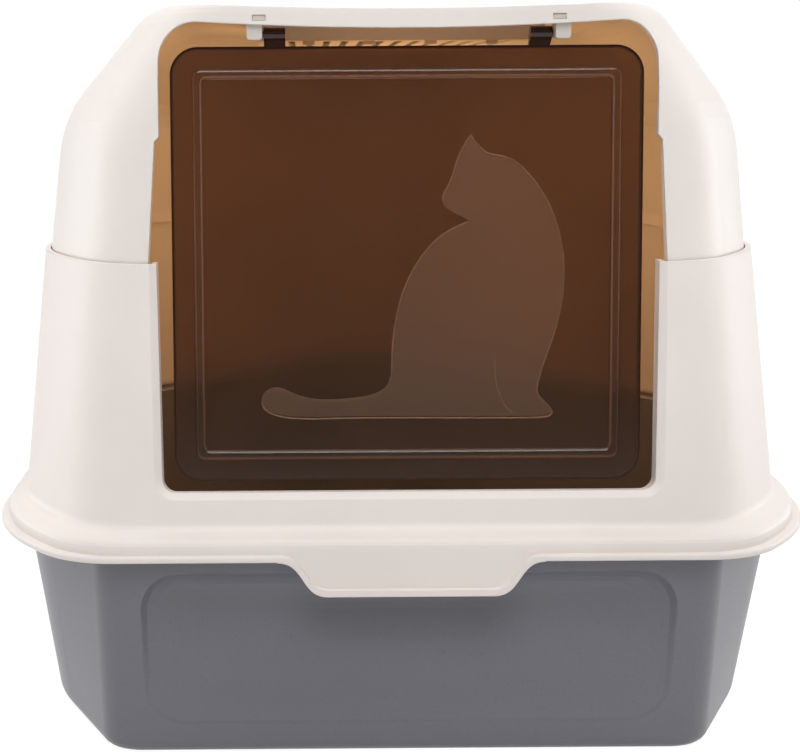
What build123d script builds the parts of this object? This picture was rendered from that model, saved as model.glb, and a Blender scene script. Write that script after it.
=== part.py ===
from build123d import *
import os
from math import atan2, cos, radians, sin, sqrt, tan

# Corner litter box: a tray with a rear corner that fits the corner of a room, a lower hood
# that stands on its rim, a domed upper hood that flips up at the back, and a swing door.
# Millimetres. +X is to the right of the entry, -Y is the entry side and +Z is up.
# The origin is on the floor, under the middle of the box.

# Overall sizes
overall_width = 455.0
overall_depth = 560.0
overall_height = 393.7
rear_corner_radius = 60.0
side_corner_radius = 70.0

# Wall thicknesses
tray_wall = 3.0
hood_wall = 2.5
dome_wall = 2.2
cut_over = 1.0

# Heights of the seams
flange_bottom = 115.0
tray_rim_top = 121.0
ridge_height = 125.6
wall_foot = 129.0
seam_height = 263.0
tuck_depth = 8.0

# Plan of the hood: how far the angled cheeks reach across and back, and their roundings
flange_cheek = (51.5, 63.0)
seam_cheek = (46.0, 70.0)
dome_cheek = (26.0, 40.0)
hood_corners = (52.0, 135.0)
dome_corners = (30.0, 60.0)

# Plan of the tray, whose front corners are drawn in further and are sharper
tray_cheek_bottom = (42.4, 82.0)
tray_cheek_top = (57.0, 77.3)
tray_corners = (18.6, 100.0)

# Side draft: how far each level stands inside the flange, at the sides and at the front
tray_bottom_inset = 26.4
tray_bottom_setback = 25.0
tray_top_inset = 12.0
tray_top_setback = 11.6
tray_bottom_radius = 6.0
tray_bottom_rise = 8.0
tray_rim_inset = 7.6
tray_rim_thickness = 3.0
band_inset = 4.2
band_setback = 3.0
foot_inset = 12.5
foot_setback = 14.0
seam_inset = 24.3
seam_setback = 38.0
bead_height = 3.5
bead_round = 1.2
hood_reaches = (4.5, 3.5)
rib_front = 100.0
rib_side_front = 110.0
rib_side_rear = 36.7
rib_rim_gap = 2.0
rib_length = 12.0
rib_height = 20.0

# Dome
tuck_gap = 0.5
shoulder_inset = 37.3
shoulder_share = 0.559
dome_reaches = (1.0, 20.0, 12.0)
top_inset = 92.6
top_setback = 44.0
top_edge_setback = 46.5
top_run = 40.0
top_dip = 3.5

# Entry opening
entry_sill = 147.3
entry_side_sill = 100.3
entry_side_seam = 97.9
entry_corner = 7.0
entry_return = 12.0
entry_bevel_width = 5.0
entry_bevel_depth = 3.0
arch_side = 100.4
arch_notch_side = 98.0
arch_seam_side = 93.6
arch_notch_share = 0.474
arch_drop = 9.3
arch_corner = 19.0
arch_return = 3.0
arch_cut_depth = 90.0

# Swing door
door_side_gap = 5.0
door_drop = 21.2
door_gap = 1.4
door_thickness = 2.0
door_corner = 14.5
door_border = 11.2
door_ridge_width = 5.4
door_ridge_height = 2.4
door_ridge_round = 2.0
door_ridge_corner = 5.0
door_channel_width = 3.4
door_rim_width = 1.4
door_rim_depth = 1.6
door_lean_depth = 25.0
panel_drop = 0.6
door_setback = 47.8
pivot_setback = 56.0
pivot_drop = 15.1
pivot_pin_radius = 1.5
pivot_clearance = 0.08
tab_centre = 67.9
tab_width = 11.0
tab_radius = 3.2
relief_height = 0.6
cat_drawn_width = 244.2
cat_drawn_height = 228.0

# White hangers that hold the door in the rim
hanger_centre = 77.9
hanger_width = 7.8
hanger_radius = 3.3
hanger_round = 1.6
hanger_gap = 0.25
hanger_drop = 6.1
nib_gap = 0.1
nib_recess = 0.7
slot_centre = 75.4
slot_width = 6.6
slot_height = 2.8
slot_drop = 9.1
stay_height = 4.5

# Pull lip in the middle of the flange
lip_bottom = 96.8
lip_half_flat = 42.5
lip_half_width = 68.0
lip_bend = 0.55
face_overlap = 0.05

# Recess pressed into the front of the tray
recess_side = 86.5
recess_bottom = 15.0
recess_top = 107.0
recess_depth = 10.0
recess_slope = 32.0
recess_curve = 2.5
recess_turn = 1.6
recess_corner = 22.0
recess_steps = 8

# Filter well in the top, its cover and its pad
filter_width = 156.0
filter_depth = 96.0
filter_front = 110.0
filter_well_depth = 11.0
filter_corner = 10.0
filter_ledge = 3.0
cover_thickness = 2.2
cover_drop = 0.4
cover_gap = 0.3
pad_thickness = 7.5
vent_length = 76.0
vent_shift = 2.0
vent_width = 4.0
vent_pitch = 10.0
vent_rows = 13
latch_pitch = 33.5
latch_count = 4
latch_width = 6.5
latch_thickness = 2.0
latch_drop = 2.0

# Carry handle, folded flat in its own well behind the filter
handle_front = 232.0
handle_well_width = 134.0
handle_well_depth = 60.0
handle_well_drop = 11.0
handle_bar = 13.0
handle_thickness = 8.0
handle_leg = 11.0
handle_gap = 1.0
handle_corner = 9.0
handle_pin_radius = 2.4

# Rear hinge of the dome
hinge_radius = 5.5
hinge_pin_radius = 2.0
hinge_clearance = 0.06
hinge_gap = 0.6
hinge_half_length = 22.0
hinge_centre_half = 9.7
knuckle_gap = 0.3
pin_overhang = 1.5
pin_chamfer = 0.5
web_lift = 0.9

half_width = overall_width / 2
front_y = -overall_depth / 2
rear_y = overall_depth / 2
corner_point = rear_y + rear_corner_radius * (sqrt(2) - 1)
dome_height = overall_height - seam_height
shoulder_height = seam_height + shoulder_share * dome_height
entry_half_sill = half_width - entry_side_sill
entry_half_seam = half_width - entry_side_seam
arch_half = half_width - arch_side
arch_notch_half = half_width - arch_notch_side
arch_seam_half = half_width - arch_seam_side
arch_notch_height = seam_height + arch_notch_share * dome_height
arch_top = overall_height - arch_drop
slot_bottom = overall_height - slot_drop
hanger_top = overall_height - hanger_drop
pivot_height = overall_height - pivot_drop
door_top = overall_height - door_drop
door_width = 2 * (arch_half - door_side_gap)
recess_half = half_width - recess_side


def plan(height, inset, setback, cheek, corners):
    """Outline at one height: flat front, angled cheeks, straight sides and a square rear."""
    side = half_width - inset
    front = front_y + setback
    point = corner_point - inset * sqrt(2)
    right = [(side - cheek[0], front), (side, front + cheek[1]), (side, point - side)]
    left = [(-x, y) for x, y in reversed(right)]
    turns = [corners[0], corners[1], side_corner_radius]
    with BuildSketch(Plane.XY.offset(height)) as outline:
        with BuildLine():
            FilletPolyline(
                *right, (0, point), *left,
                radius=[*turns, rear_corner_radius, *reversed(turns)], close=True,
            )
        make_face()
    return outline.sketch


def eased(points, reaches, steps=4):
    """Path through the points, with each inner corner rounded over its own reach."""
    path = [Vector(*points[0])]
    for before, corner, after, reach in zip(points, points[1:], points[2:], reaches):
        corner = Vector(*corner)
        start = corner + (Vector(*before) - corner).normalized() * reach
        end = corner + (Vector(*after) - corner).normalized() * reach
        for step in range(steps + 1):
            t = step / steps
            path.append(start * (1 - t) ** 2 + corner * (2 * t * (1 - t)) + end * t**2)
    path.append(Vector(*points[-1]))
    return path


def between(low, high, share):
    """Mix two tuples of sizes by a share from 0 to 1."""
    return tuple(a + (b - a) * share for a, b in zip(low, high))


# Levels are written as (inset, setback, height)

def tray_levels(wall, steps=5):
    """Levels of the tray, from its floor to its rim, drawn in by a wall thickness."""
    slope_in = (tray_bottom_inset - tray_top_inset) / flange_bottom
    slope_back = (tray_bottom_setback - tray_top_setback) / flange_bottom
    levels = []
    for step in range(steps + 1):
        angle = radians(90 * step / steps)
        height = tray_bottom_rise * (1 - cos(angle))
        curl = tray_bottom_radius * (1 - sin(angle))
        inset = tray_bottom_inset - slope_in * height + curl + wall
        setback = tray_bottom_setback - slope_back * height + curl + wall
        levels.append((inset, setback, height + wall))
    top = tray_rim_top + (cut_over if wall else -tray_rim_thickness / 2)
    inset = tray_bottom_inset - slope_in * top + wall
    setback = tray_bottom_setback - slope_back * top + wall
    levels.append((inset, setback, top))
    return levels


def tray_body(wall):
    """Solid of the tray's outside, or of its hollow when a wall is given."""
    sections = []
    for inset, setback, height in tray_levels(wall):
        cheek = between(tray_cheek_bottom, tray_cheek_top, height / flange_bottom)
        sections.append(plan(height, inset, setback, cheek, tray_corners))
    with BuildPart() as body:
        loft(sections=sections, ruled=True)
    return body.part


def hood_body(wall):
    """Solid of the lower hood's outside above the bead, or of its hollow."""
    foot = lip_bottom - cut_over if wall else flange_bottom
    points = [
        (band_inset + wall, band_setback + wall, foot),
        (band_inset + wall, band_setback + wall, ridge_height - wall),
        (foot_inset + wall, foot_setback + wall, wall_foot - wall / 2),
        (seam_inset + wall, seam_setback + wall, seam_height + (cut_over if wall else 0)),
    ]
    sections = []
    for inset, setback, height in eased(points, hood_reaches):
        share = (height - flange_bottom) / (seam_height - flange_bottom)
        cheek = between(flange_cheek, seam_cheek, share)
        sections.append(plan(height, inset, setback, cheek, hood_corners))
    with BuildPart() as body:
        loft(sections=sections, ruled=True)
    return body.part


def dome_body(wall):
    """Solid of the upper hood's outside, or of its hollow."""
    base_inset = seam_inset + hood_wall + tuck_gap + wall
    base_setback = seam_setback + hood_wall + tuck_gap + wall
    top = overall_height - (wall + top_dip if wall else 0)
    foot = seam_height - tuck_depth - (cut_over if wall else 0)
    points = [
        (base_inset, base_setback, foot),
        (base_inset, base_setback, seam_height),
        (shoulder_inset + wall, top_setback + wall, shoulder_height - wall / 2),
        (top_inset + wall / 2, top_setback + wall, top),
        (top_inset + wall / 2 + top_run, top_edge_setback + wall, top),
    ]
    sections = []
    for inset, setback, height in eased(points, dome_reaches)[:-1]:
        share = max(0, (inset - base_inset) / (top_inset - base_inset))
        cheek = between(seam_cheek, dome_cheek, share)
        corners = between(hood_corners, dome_corners, share)
        sections.append(plan(height, inset, setback, cheek, corners))
    with BuildPart() as body:
        loft(sections=sections, ruled=True)
    return body.part


# Tray

recess_lean = atan2(tray_bottom_setback - tray_top_setback, flange_bottom)
recess_middle = (recess_bottom + recess_top) / 2
recess_y = front_y + tray_bottom_setback - (tray_bottom_setback - tray_top_setback) * (
    recess_middle / flange_bottom
)


def recess_plane(depth, turned):
    """Plane behind the tray's front wall, turned upright by a share of the recess's turn."""
    lean = recess_lean * (1 - recess_turn * turned)
    return Plane(
        origin=(0, recess_y + depth * cos(recess_lean), recess_middle + depth * sin(recess_lean)),
        x_dir=(1, 0, 0),
        z_dir=(0, -cos(lean), -sin(lean)),
    )


def recess_body(wall):
    """Solid of the recess in the tray's front, with soft edges and deepest near its top."""
    sections = []
    for step in range(recess_steps + 1):
        share = step / recess_steps
        inward = recess_slope * share - wall
        pressed = 1 - (1 - share) ** recess_curve
        depth = (recess_depth + wall) * pressed if step else -tray_wall / 2
        with BuildSketch(recess_plane(depth, pressed)) as level:
            RectangleRounded(
                2 * (recess_half - inward), recess_top - recess_bottom - 2 * inward,
                recess_corner - inward / 2,
            )
        sections.append(level.sketch)
    with BuildPart() as body:
        loft(sections=sections, ruled=True)
    return body.part


tray_recess = recess_body(0)
tray_bulge = recess_body(tray_wall)

with BuildPart() as tray_hollow:
    add(tray_body(tray_wall))
    add(tray_bulge, mode=Mode.SUBTRACT)

with BuildPart() as tray:
    add(tray_body(0))
    extrude(
        plan(tray_rim_top - tray_rim_thickness, tray_rim_inset, tray_rim_inset, flange_cheek,
             hood_corners),
        amount=tray_rim_thickness,
    )
    add(tray_recess, mode=Mode.SUBTRACT)
    add(tray_hollow.part, mode=Mode.SUBTRACT)

tray.part.label = "tray"


# Lower hood

entry_lean = atan2(seam_setback - foot_setback, seam_height - wall_foot)
sill_y = front_y + foot_setback + (entry_sill - wall_foot) * tan(entry_lean)
entry_plane = Plane(
    origin=(0, sill_y, entry_sill),
    x_dir=(1, 0, 0),
    z_dir=(0, -cos(entry_lean), sin(entry_lean)),
)


def entry_outline(plane, growth):
    """Entry opening in its leaning plane, open at the top, grown all round by a width."""
    rise = (seam_height - entry_sill) / cos(entry_lean)
    reach = rise + 2 * tuck_depth
    flare = (entry_half_seam - entry_half_sill) / rise
    top = entry_half_sill + flare * reach + growth
    low = entry_half_sill + growth
    radius = entry_corner + growth
    with BuildSketch(plane) as outline:
        with BuildLine():
            FilletPolyline(
                (-top, reach), (-low, -growth), (low, -growth), (top, reach), radius=radius
            )
            Line((top, reach), (-top, reach))
        make_face()
    return outline.sketch


def entry_funnel(growth, depth):
    """Entry opening as a solid: a bevel at the face and a straight return behind it."""
    with BuildPart() as funnel:
        loft(
            sections=[
                entry_outline(entry_plane.offset(cut_over), growth + entry_bevel_width),
                entry_outline(entry_plane.offset(-entry_bevel_depth), growth),
            ],
            ruled=True,
        )
        extrude(
            entry_outline(entry_plane.offset(-entry_bevel_depth), growth),
            amount=-(depth - entry_bevel_depth),
        )
    return funnel.part


hood_outside = hood_body(0)

with BuildPart() as entry_frame:
    add(hood_outside)
    add(entry_funnel(hood_wall, entry_return), mode=Mode.INTERSECT)

with BuildPart() as bead:
    extrude(plan(flange_bottom, 0, 0, flange_cheek, hood_corners), amount=bead_height)
    fillet(bead.faces().filter_by(Axis.Z).edges(), bead_round)


def lip_outline(y, top, rise, draw_in):
    """Pull lip seen from the front, on a plane at a depth, raised and drawn in by two widths."""
    bend = (lip_half_width - lip_half_flat) * lip_bend
    wide = lip_half_width - draw_in
    flat = lip_half_flat - draw_in
    high = flange_bottom + rise
    low = lip_bottom + rise
    right = [(wide, high), (wide - bend, high), (flat + bend, low), (flat, low)]
    with BuildSketch(Plane(origin=(0, y, 0), x_dir=(1, 0, 0), z_dir=(0, -1, 0))) as outline:
        with BuildLine():
            Line((-wide, top), (wide, top))
            Line((wide, top), right[0])
            Bezier(*right)
            Line(right[3], (-flat, low))
            Bezier(*[(-x, z) for x, z in reversed(right)])
            Line((-wide, high), (-wide, top))
        make_face()
    return outline.sketch


lip_thickness = band_setback + 2 * hood_wall

with BuildPart() as lip:
    extrude(lip_outline(front_y + lip_thickness, flange_bottom + bead_height / 2, 0, 0),
            amount=lip_thickness)

# Face of the lip, sunk behind the bead that runs along its edge
with BuildPart() as lip_face:
    extrude(
        lip_outline(front_y + band_setback - face_overlap, flange_bottom + 2 * bead_height,
                    bead_height, bead_height / 3),
        amount=band_setback,
    )

rib_inset = tray_rim_inset + rib_rim_gap
diagonal = (corner_point - rib_inset * sqrt(2)) / 2
rib_places = []
for side in (-1, 1):
    rib_places += [
        (side * rib_front, front_y + rib_inset, 90),
        (side * (half_width - rib_inset), -rib_side_front, 0),
        (side * (half_width - rib_inset), rib_side_rear, 0),
        (side * diagonal, diagonal, side * 45),
    ]

with BuildPart() as seat_ribs:
    for x, y, angle in rib_places:
        with Locations(Location((x, y, tray_rim_top), (0, 0, angle))):
            Box(rib_length, hood_wall, rib_height,
                align=(Align.CENTER, Align.CENTER, Align.MIN))
    add(hood_outside, mode=Mode.INTERSECT)

seam_rear = corner_point - seam_inset * sqrt(2) - rear_corner_radius * (sqrt(2) - 1)
hinge_y = seam_rear + hinge_radius + hinge_gap
hinge_line = Plane(origin=(0, hinge_y, seam_height), x_dir=(0, 1, 0), z_dir=(1, 0, 0))
web_reach = hinge_radius + hinge_gap + hood_wall / 2

with BuildPart() as lower_knuckles:
    for side in (-1, 1):
        middle = side * (hinge_half_length + hinge_centre_half + knuckle_gap) / 2
        length = hinge_half_length - hinge_centre_half - knuckle_gap
        with BuildSketch(hinge_line.offset(middle - length / 2)):
            Circle(hinge_radius)
            with Locations((-web_reach, 0)):
                Rectangle(web_reach, 2 * hinge_radius, align=(Align.MIN, Align.MAX))
        extrude(amount=length)

with BuildPart() as lower_hood:
    add(hood_outside)
    add(bead.part)
    add(lip.part)
    add(lip_face.part, mode=Mode.SUBTRACT)
    add(lower_knuckles.part)
    add(hood_body(hood_wall), mode=Mode.SUBTRACT)
    add(entry_frame.part)
    add(seat_ribs.part)
    add(entry_funnel(0, 2 * entry_return), mode=Mode.SUBTRACT)
    with Locations(hinge_line):
        Cylinder(hinge_pin_radius + hinge_clearance, 3 * hinge_half_length, mode=Mode.SUBTRACT)
lower_hood.part.label = "lower_hood"


# Upper hood

def arch_outline(y, growth):
    """Arched opening of the upper hood, seen from the front, grown by a width."""
    foot = seam_height - 2 * tuck_depth
    step = arch_notch_height + (arch_notch_half - arch_half)
    side = arch_half + growth
    shoulder = arch_top + growth
    corner = arch_corner + growth
    with BuildSketch(Plane(origin=(0, y, 0), x_dir=(1, 0, 0), z_dir=(0, -1, 0))) as outline:
        with BuildLine():
            for x in (-1, 1):
                Polyline(
                    (x * (arch_seam_half + growth), foot),
                    (x * (arch_seam_half + growth), seam_height),
                    (x * (arch_notch_half + growth), arch_notch_height),
                    (x * side, step),
                    (x * side, shoulder - corner),
                )
                CenterArc(
                    (x * (side - corner), shoulder - corner), corner, 0 if x > 0 else 90, 90
                )
            ThreePointArc(
                (-(side - corner), shoulder), (0, shoulder - top_dip), (side - corner, shoulder)
            )
            Line((-(arch_seam_half + growth), foot), (arch_seam_half + growth, foot))
        make_face()
    return outline.sketch


hanger_front = front_y + top_setback + dome_wall + hanger_gap
hanger_back = front_y + pivot_setback + hanger_radius
dome_outside = dome_body(0)
arch_back = front_y + top_setback + dome_wall + arch_return

with BuildPart() as arch_lip:
    extrude(arch_outline(arch_back, dome_wall), amount=arch_back - front_y)
    add(dome_outside, mode=Mode.INTERSECT)

well_floor = overall_height - top_dip - filter_well_depth
cover_seat = overall_height - top_dip - cover_drop - cover_thickness
filter_y = front_y + filter_front + filter_depth / 2
handle_y = front_y + handle_front + handle_well_depth / 2
pocket_width = filter_width - 2 * filter_ledge
pocket_depth = filter_depth - 2 * filter_ledge
well_block_height = cover_seat - well_floor + dome_wall + cover_thickness / 2
latch_y = filter_y - pocket_depth / 2 + latch_thickness / 2 + cover_gap
handle_floor = overall_height - top_dip - handle_well_drop
handle_pivot_y = handle_y + handle_well_depth / 2 - handle_thickness / 2 - handle_gap
handle_pivot_z = handle_floor + handle_thickness / 2 + handle_gap / 2

with BuildPart() as top_wells:
    with BuildSketch(Plane.XY.offset(well_floor - dome_wall)):
        with Locations((0, filter_y)):
            RectangleRounded(filter_width + 2 * dome_wall, filter_depth + 2 * dome_wall,
                             filter_corner + dome_wall)
    extrude(amount=well_block_height)
    with BuildSketch(Plane.XY.offset(handle_floor - dome_wall)):
        with Locations((0, handle_y)):
            RectangleRounded(handle_well_width + 2 * dome_wall,
                             handle_well_depth + 2 * dome_wall, filter_corner)
    extrude(amount=well_block_height)

with BuildPart() as top_pockets:
    with BuildSketch(Plane.XY.offset(cover_seat)):
        with Locations((0, filter_y)):
            RectangleRounded(filter_width, filter_depth, filter_corner)
    extrude(amount=filter_well_depth)
    with BuildSketch(Plane.XY.offset(well_floor)):
        with Locations((0, filter_y)):
            RectangleRounded(pocket_width, pocket_depth, filter_corner - filter_ledge)
    extrude(amount=filter_well_depth)
    with BuildSketch(Plane.XY.offset(handle_floor)):
        with Locations((0, handle_y)):
            RectangleRounded(handle_well_width, handle_well_depth, handle_gap)
    extrude(amount=2 * handle_well_drop)
    with BuildSketch(Plane.XY.offset(well_floor - 2 * dome_wall)):
        with Locations((0, filter_y + vent_shift)):
            with GridLocations(vent_pitch, 0, vent_rows, 1):
                SlotOverall(vent_length, vent_width, rotation=90)
        with Locations((0, latch_y)):
            with GridLocations(latch_pitch, 0, latch_count, 1):
                Rectangle(latch_width + 2 * cover_gap, latch_thickness + 2 * cover_gap)
    extrude(amount=3 * dome_wall)
    with Locations(Location((0, handle_pivot_y, handle_pivot_z), (0, 90, 0))):
        Cylinder(handle_pin_radius + hinge_clearance, handle_well_width + 4 * dome_wall)

# The top is slightly hollow from side to side, so its middle lies a little lower
with BuildPart() as dip:
    with BuildSketch(Plane(origin=(0, 0, 0), x_dir=(1, 0, 0), z_dir=(0, -1, 0))):
        with BuildLine():
            ends = (half_width - top_inset - dome_reaches[-1], overall_height)
            ThreePointArc((-ends[0], ends[1]), (0, ends[1] - top_dip), ends)
            Line(ends, (-ends[0], ends[1]))
        make_face()
    extrude(amount=overall_depth, both=True)

dome_rear = seam_rear - (hood_wall + tuck_gap) * sqrt(2)
dome_web = hinge_y - dome_rear + dome_wall / 2

with BuildPart() as centre_knuckle:
    with BuildSketch(hinge_line.offset(-hinge_centre_half)):
        Circle(hinge_radius)
        with Locations((-dome_web, web_lift)):
            Rectangle(dome_web, hinge_radius - web_lift, align=(Align.MIN, Align.MIN))
    extrude(amount=2 * hinge_centre_half)

with BuildPart() as upper_hood:
    add(dome_outside)
    add(centre_knuckle.part)
    add(dome_body(dome_wall), mode=Mode.SUBTRACT)
    add(arch_lip.part)
    add(top_wells.part)
    add(dip.part, mode=Mode.SUBTRACT)
    add(top_pockets.part, mode=Mode.SUBTRACT)
    extrude(arch_outline(front_y + arch_cut_depth, 0), amount=arch_cut_depth, mode=Mode.SUBTRACT)
    with Locations(hinge_line):
        Cylinder(hinge_pin_radius + hinge_clearance, 3 * hinge_half_length, mode=Mode.SUBTRACT)
    for side in (-1, 1):
        with Locations((side * slot_centre, front_y + top_setback, slot_bottom + slot_height / 2)):
            Box(slot_width, 4 * dome_wall, slot_height, mode=Mode.SUBTRACT)
        # pocket in the return of the arch that the hanger stands in
        with Locations((side * hanger_centre, hanger_front - hanger_gap, pivot_height)):
            Box(hanger_width + 2 * hanger_gap, hanger_back - hanger_front + 2 * hanger_gap,
                hanger_top + hanger_gap - pivot_height,
                align=(Align.CENTER, Align.MIN, Align.MIN), mode=Mode.SUBTRACT)
        # rib on the ceiling that keeps the hanger against the rim
        with Locations((side * hanger_centre, hanger_back + hanger_gap, slot_bottom)):
            Box(hanger_width, dome_wall, stay_height,
                align=(Align.CENTER, Align.MIN, Align.MIN))
upper_hood.part.label = "upper_hood"


# Hinge pin of the dome

with BuildPart() as hinge_pin:
    with Locations(hinge_line):
        Cylinder(hinge_pin_radius, 2 * hinge_half_length + 2 * pin_overhang)
    chamfer(hinge_pin.edges(), pin_chamfer)
hinge_pin.part.label = "hinge_pin"


# White hangers, each hooked through a slot of the rim

def door_hanger(side):
    """Hanger with a rounded foot, a bore for the door's pin and a nib in the rim's slot."""
    pivot_y = front_y + pivot_setback
    bore_plane = Plane(
        origin=(side * hanger_centre - hanger_width / 2, pivot_y, pivot_height),
        x_dir=(0, 1, 0), z_dir=(1, 0, 0),
    )
    with BuildPart() as hanger:
        with BuildSketch(bore_plane):
            Circle(hanger_radius)
            with Locations((hanger_front - pivot_y, -hanger_radius)):
                Rectangle(pivot_y - hanger_front, hanger_radius, align=(Align.MIN, Align.MIN))
            with Locations((hanger_front - pivot_y, 0)):
                Rectangle(hanger_back - hanger_front, hanger_top - pivot_height,
                          align=(Align.MIN, Align.MIN))
            Circle(pivot_pin_radius + pivot_clearance, mode=Mode.SUBTRACT)
        extrude(amount=hanger_width)
        with BuildSketch(Plane(
            origin=(side * hanger_centre, front_y, pivot_height - hanger_radius),
            x_dir=(1, 0, 0), z_dir=(0, -1, 0),
        )) as front_shape:
            Rectangle(hanger_width, hanger_top - pivot_height + hanger_radius,
                      align=(Align.CENTER, Align.MIN))
            fillet(front_shape.vertices().group_by(Axis.Z)[0], hanger_round)
        extrude(amount=2 * pivot_setback, both=True, mode=Mode.INTERSECT)
        nib_bottom = slot_bottom + nib_gap
        nib_length = dome_wall + hanger_gap - nib_recess
        with Locations((side * slot_centre, hanger_front, nib_bottom)):
            Box(slot_width - 2 * nib_gap, nib_length, slot_height - 2 * nib_gap,
                align=(Align.CENTER, Align.MAX, Align.MIN))
    return hanger.part


door_hanger_left = door_hanger(-1)
door_hanger_left.label = "door_hanger_left"
door_hanger_right = door_hanger(1)
door_hanger_right.label = "door_hanger_right"


# Swing door, which leans with the front

door_bottom = entry_sill + door_gap
door_lean = atan2(door_lean_depth, door_top - door_bottom)
door_length = (door_top - door_bottom) / cos(door_lean)
pivot_y = front_y + pivot_setback
door_y = front_y + door_setback
door_plane = Plane(
    origin=(0, door_y, (door_bottom + door_top) / 2), x_dir=(1, 0, 0),
    z_dir=(0, -cos(door_lean), sin(door_lean)),
)


def door_panel(plane, inset, corner):
    """Rounded rectangle inside the edge of the door."""
    with BuildSketch(plane) as panel:
        RectangleRounded(door_width - 2 * inset, door_length - 2 * inset, corner)
    return panel.sketch


# Corners and handles of the cat's outline, across and up from the middle of the door
cat_curves = [
    ((33, 67), (36, 62), (39, 59), (43, 57)),
    ((43, 57), (50, 57), (57, 54), (62, 48)),
    ((62, 48), (76, 34), (84, 10), (81, -16)),
    ((81, -16), (79, -36), (70, -50), (68, -64)),
    ((68, -64), (67, -70), (74, -72), (76, -77)),
    ((76, -77), (76, -80), (70, -80), (60, -80)),
    ((60, -80), (20, -80), (-20, -79), (-48, -80)),
    ((-48, -80), (-64, -80), (-76, -78), (-76, -71)),
    ((-76, -71), (-76, -64), (-68, -62), (-62, -66)),
    ((-62, -66), (-52, -71), (-42, -71), (-32, -70)),
    ((-32, -70), (-16, -69), (-8, -66), (-8, -54)),
    ((-8, -54), (-8, -30), (-4, -8), (12, 10)),
    ((12, 10), (18, 17), (26, 20), (33, 23)),
    ((33, 23), (28, 26), (25, 27), (22, 29)),
    ((22, 29), (17, 32), (18, 37), (21, 40)),
    ((21, 40), (24, 46), (25, 52), (27, 57)),
    ((27, 57), (29, 61), (31, 65), (33, 67)),
]


def seated_cat(plane):
    """Plain seated cat that looks over its shoulder, as a relief on the door."""
    across = door_width / cat_drawn_width
    up = door_length / cat_drawn_height
    with BuildSketch(plane) as relief:
        with BuildLine():
            for curve in cat_curves:
                Bezier(*[(x * across, y * up) for x, y in curve])
        make_face()
    return relief.sketch


with BuildPart() as door_ridge:
    with BuildSketch(door_plane):
        add(door_panel(Plane.XY, door_border, door_ridge_corner))
        add(door_panel(Plane.XY, door_border + door_ridge_width, door_ridge_corner / 2),
            mode=Mode.SUBTRACT)
    extrude(amount=door_ridge_height)
    crest = door_ridge.faces().sort_by(Axis(door_plane.origin, door_plane.z_dir))[-1]
    fillet(crest.edges(), door_ridge_round)

with BuildPart() as swing_door:
    extrude(door_panel(door_plane, 0, door_corner), amount=-door_thickness)
    panel_inset = door_border + door_ridge_width + door_channel_width
    extrude(door_panel(door_plane, panel_inset, door_ridge_corner / 2), amount=-panel_drop,
            mode=Mode.SUBTRACT)
    add(door_ridge.part)
    with BuildSketch(door_plane.offset(-door_thickness)):
        add(door_panel(Plane.XY, 0, door_corner))
        add(door_panel(Plane.XY, door_rim_width, door_corner - door_rim_width),
            mode=Mode.SUBTRACT)
        with Locations((0, door_length / 2)):
            Rectangle(door_width, 2 * door_corner, mode=Mode.SUBTRACT)
    extrude(amount=-door_rim_depth)
    extrude(seated_cat(door_plane.offset(-panel_drop)), amount=relief_height)
    for side in (-1, 1):
        tab_plane = Plane(
            origin=(side * tab_centre - tab_width / 2, pivot_y, pivot_height),
            x_dir=(0, 1, 0), z_dir=(1, 0, 0),
        )
        with BuildSketch(tab_plane):
            Circle(tab_radius)
            with Locations((
                door_y + (door_lean_depth + door_thickness) / 2 - pivot_y,
                door_top - pivot_height,
            )):
                Circle(door_thickness / 2)
            make_hull()
        extrude(amount=tab_width)
        pin_start = tab_centre + tab_width / 2
        pin_end = hanger_centre + hanger_width / 2 - hanger_gap
        with Locations(Location(
            (side * (pin_start + pin_end) / 2, pivot_y, pivot_height), (0, 90, 0)
        )):
            Cylinder(pivot_pin_radius, pin_end - pin_start)
swing_door.part.label = "swing_door"


# Filter cover, which lies flush in the top and has small latches through the well's floor

cover_width = filter_width - 2 * cover_gap
cover_depth = filter_depth - 2 * cover_gap

with BuildPart() as filter_cover:
    with BuildSketch(Plane.XY.offset(cover_seat)):
        with Locations((0, filter_y)):
            RectangleRounded(cover_width, cover_depth, filter_corner - cover_gap)
        with Locations((0, filter_y + vent_shift)):
            with GridLocations(vent_pitch, 0, vent_rows, 1):
                SlotOverall(vent_length, vent_width, rotation=90, mode=Mode.SUBTRACT)
    extrude(amount=cover_thickness)
    latch_foot = well_floor - dome_wall - latch_drop
    with BuildSketch(Plane.XY.offset(latch_foot)):
        with Locations((0, latch_y)):
            with GridLocations(latch_pitch, 0, latch_count, 1):
                Rectangle(latch_width, latch_thickness)
    extrude(amount=cover_seat - latch_foot)
filter_cover.part.label = "filter_cover"


# Carbon filter pad under the cover

pad_front = latch_y + latch_thickness / 2 + 2 * cover_gap
pad_back = filter_y + pocket_depth / 2 - 2 * cover_gap

with BuildPart() as carbon_filter:
    with BuildSketch(Plane.XY.offset(well_floor)):
        with Locations((0, (pad_front + pad_back) / 2)):
            RectangleRounded(pocket_width - 4 * cover_gap, pad_back - pad_front, filter_corner / 2)
    extrude(amount=pad_thickness)
carbon_filter.part.label = "carbon_filter"


# Carry handle, folded flat in its well and turning on the two pins at its rear

leg_outside = handle_well_width / 2 - handle_gap
handle_reach = handle_well_depth - 2 * handle_gap - handle_thickness / 2

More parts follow.
